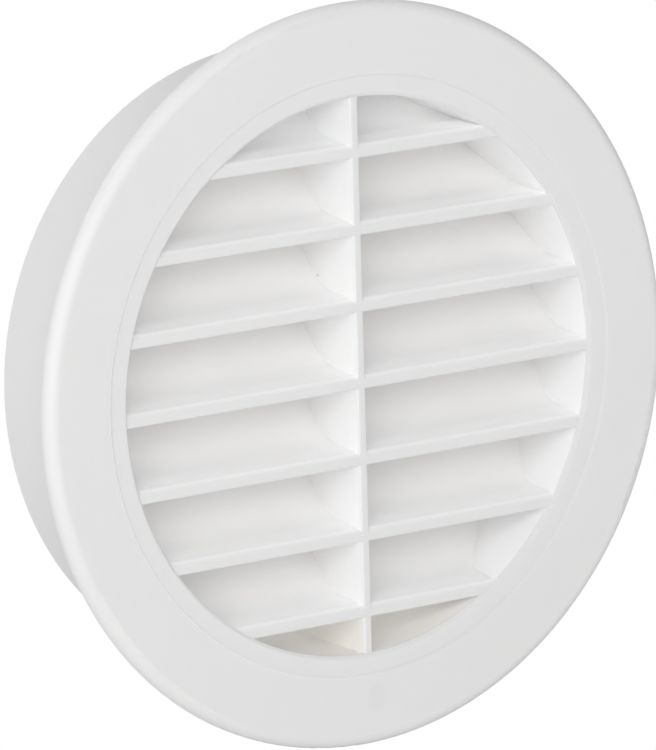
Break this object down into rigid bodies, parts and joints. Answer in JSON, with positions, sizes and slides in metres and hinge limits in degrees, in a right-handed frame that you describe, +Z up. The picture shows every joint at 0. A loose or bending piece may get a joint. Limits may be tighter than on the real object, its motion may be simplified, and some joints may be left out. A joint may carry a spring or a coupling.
{
  "type": "round vent grille",
  "caption": "Round wall vent grille: a flange with a rounded rim, concave fixed louvres tied by an upright middle bar, and a plain spigot behind it that slides into a round duct.",
  "frame": {"origin": "on the spigot's axis, in the plane of the flange's back, where the grille meets the wall", "axes": "+Y along the spigot's axis into the duct, so the louvres face -Y; +Z up, the way the blades rise towards the duct; X along the blades"},
  "size_m": [0.118, 0.0276, 0.118],
  "materials": {
    "grille_plastic": "satin white moulded plastic"
  },
  "bodies": {
    "root": {"vent_grille": "grille_plastic"}
  },
  "joints": []
}
